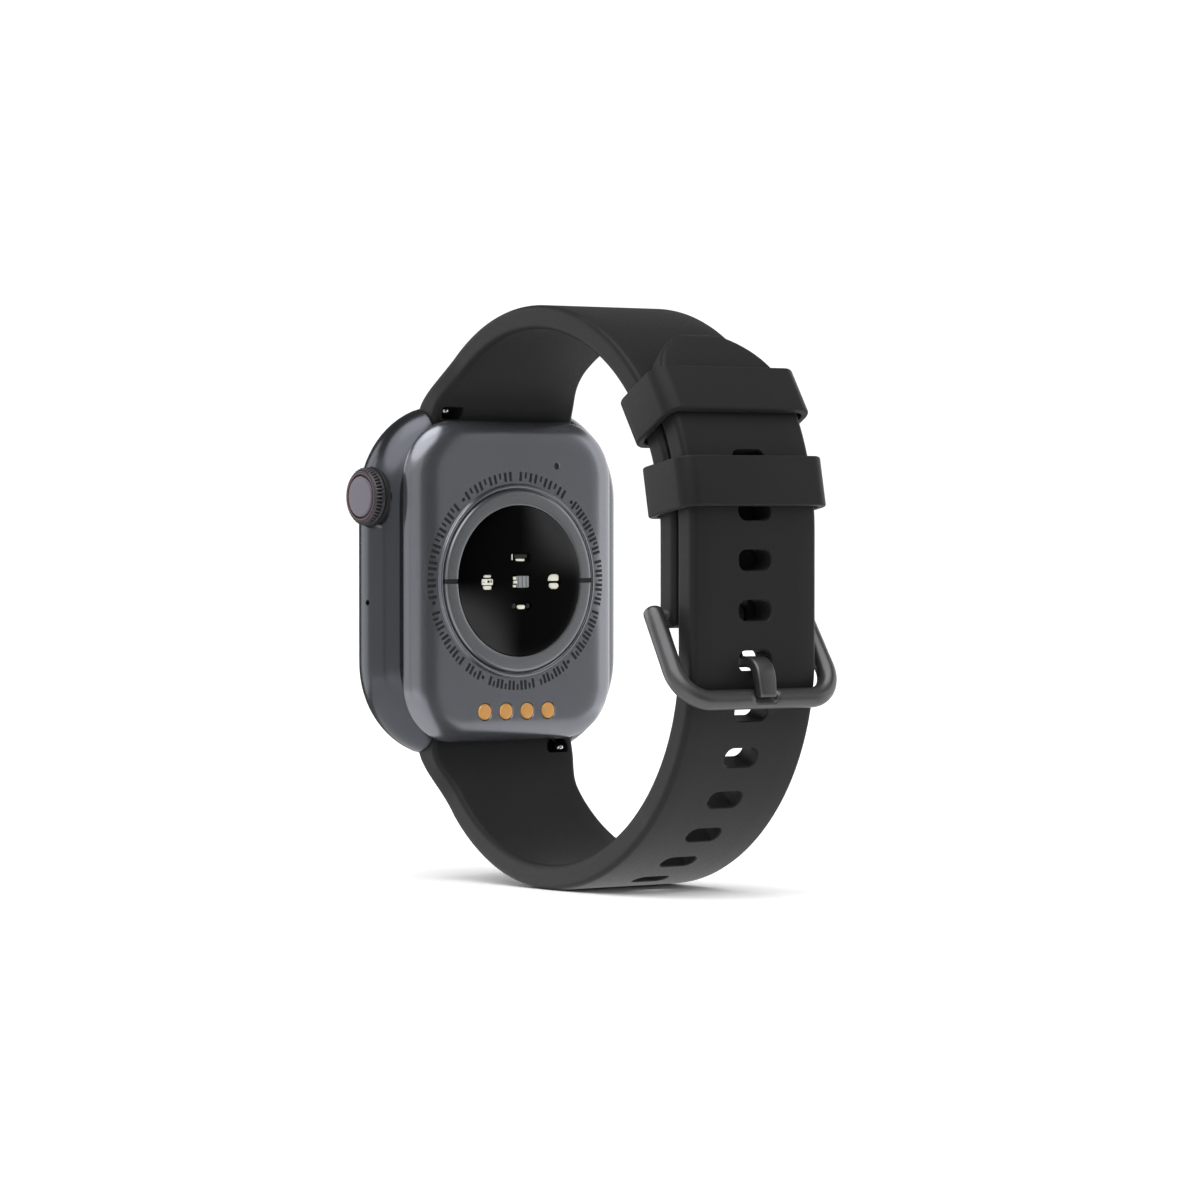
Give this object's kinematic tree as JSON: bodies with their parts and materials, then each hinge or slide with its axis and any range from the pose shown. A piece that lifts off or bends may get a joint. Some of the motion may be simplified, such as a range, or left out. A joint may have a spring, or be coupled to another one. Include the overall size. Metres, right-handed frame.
{
  "type": "smartwatch",
  "caption": "Square smartwatch with crown, optical sensor and charging pads on its back, on a buckled silicone strap with slots and sliding keepers.",
  "frame": {"origin": "centre of the display glass's outer face", "axes": "-Y out of the display glass, +Y towards the wrist and buckle, +Z towards twelve o'clock, +X towards the crown"},
  "size_m": [0.0399, 0.0596, 0.0709],
  "materials": {
    "case": "satin anodised dark blue-grey",
    "back_cover": "satin metallic grey",
    "ring_metal": "satin",
    "display": "polished black",
    "lens": "polished black",
    "adhesive": "matte foam tape",
    "panel": "gloss",
    "flex": "polyimide film",
    "bracket": "stamped",
    "cell": "foil pouch",
    "board": "solder mask",
    "tin": "tinned steel",
    "steel": "turned",
    "copper": "gold plated",
    "black_plastic": "moulded",
    "seal": "matte",
    "led": "clear encapsulated",
    "crown_metal": "satin anodised",
    "accent": "thin red ring",
    "white_plastic": "moulded",
    "magnet": "nickel plated",
    "silicone": "matte silicone",
    "buckle_metal": "satin gunmetal"
  },
  "bodies": {
    "watch": {"case_body": "case", "display_glass": "display", "display_adhesive": "adhesive", "display_panel": "panel", "display_flex": "flex", "inner_bracket": "bracket", "battery": "cell", "battery_tape": "adhesive", "main_board": "board", "shield_can": "tin", "board_screws": "steel", "antenna": "copper", "microphone": "tin", "speaker": "black_plastic", "speaker_mesh": "steel", "motor_can": "tin", "sensor_board": "board", "sensor_leds": "led", "photodiode": "black_plastic", "light_baffle": "black_plastic", "sensor_lens": "lens", "sensor_ring_upper": "ring_metal", "sensor_ring_lower": "ring_metal", "ring_insulators": "black_plastic", "back_cover": "back_cover", "back_gasket": "seal", "charging_pads": "copper", "pad_pins": "copper", "charging_flex": "flex", "charging_magnets": "magnet", "crown_bushing": "steel", "encoder_sensor": "black_plastic", "press_switch": "black_plastic", "upper_strap": "silicone", "lower_strap": "silicone", "upper_bar_tube": "steel", "upper_fixed_pin": "steel", "upper_bar_spring": "steel", "lower_bar_tube": "steel", "lower_fixed_pin": "steel", "lower_bar_spring": "steel"},
    "press_plunger": {"crown_plunger": "white_plastic"},
    "crown": {"crown_shaft": "steel", "crown_knob": "crown_metal", "crown_cap": "crown_metal", "crown_accent_ring": "accent", "crown_seal": "seal", "crown_oring": "seal", "crown_clip": "steel", "encoder_wheel": "white_plastic"},
    "upper_release": {"upper_release_pin": "steel"},
    "lower_release": {"lower_release_pin": "steel"},
    "upper_keeper": {"keeper_upper": "silicone"},
    "lower_keeper": {"keeper_lower": "silicone"},
    "buckle": {"buckle_frame": "buckle_metal", "buckle_bar": "steel"},
    "tongue": {"buckle_tongue": "buckle_metal"},
    "motor_rotor": {"motor_shaft": "steel", "motor_weight": "steel"}
  },
  "joints": [
    {"name": "crown_press", "type": "slide", "parent": "watch", "child": "press_plunger", "axis": [-1, 0, 0], "range_m": [0, 0.0005], "stiffness_N_per_m": 900, "springref_m": -0.0006},
    {"name": "crown_turn", "type": "hinge", "parent": "press_plunger", "child": "crown", "pos_m": [0.0195, 0.0056, 0.0105], "axis": [1, 0, 0], "continuous": true},
    {"name": "upper_release_slide", "type": "slide", "parent": "watch", "child": "upper_release", "axis": [-1, 0, 0], "range_m": [0, 0.0014], "stiffness_N_per_m": 300, "springref_m": -0.0015, "deforming": ["upper_bar_spring"]},
    {"name": "lower_release_slide", "type": "slide", "parent": "watch", "child": "lower_release", "axis": [1, 0, 0], "range_m": [0, 0.0014], "stiffness_N_per_m": 300, "springref_m": -0.0015, "deforming": ["lower_bar_spring"]},
    {"name": "upper_keeper_slide", "type": "hinge", "parent": "watch", "child": "upper_keeper", "pos_m": [0, 0.0258, 0.0062], "axis": [1, 0, 0], "range_deg": [-2, 6]},
    {"name": "lower_keeper_slide", "type": "hinge", "parent": "watch", "child": "lower_keeper", "pos_m": [0, 0.0258, 0.0062], "axis": [1, 0, 0], "range_deg": [-4, 3]},
    {"name": "buckle_swing", "type": "hinge", "parent": "watch", "child": "buckle", "pos_m": [0, 0.0518, -0.0036], "axis": [1, 0, 0], "range_deg": [0, 4]},
    {"name": "tongue_lift", "type": "hinge", "parent": "buckle", "child": "tongue", "pos_m": [0, 0.0518, -0.0036], "axis": [1, 0, 0], "range_deg": [0, 3]},
    {"name": "motor_spin", "type": "hinge", "parent": "watch", "child": "motor_rotor", "pos_m": [0.0122, 0.0049, -0.0052], "axis": [0, 0, 1], "continuous": true}
  ]
}
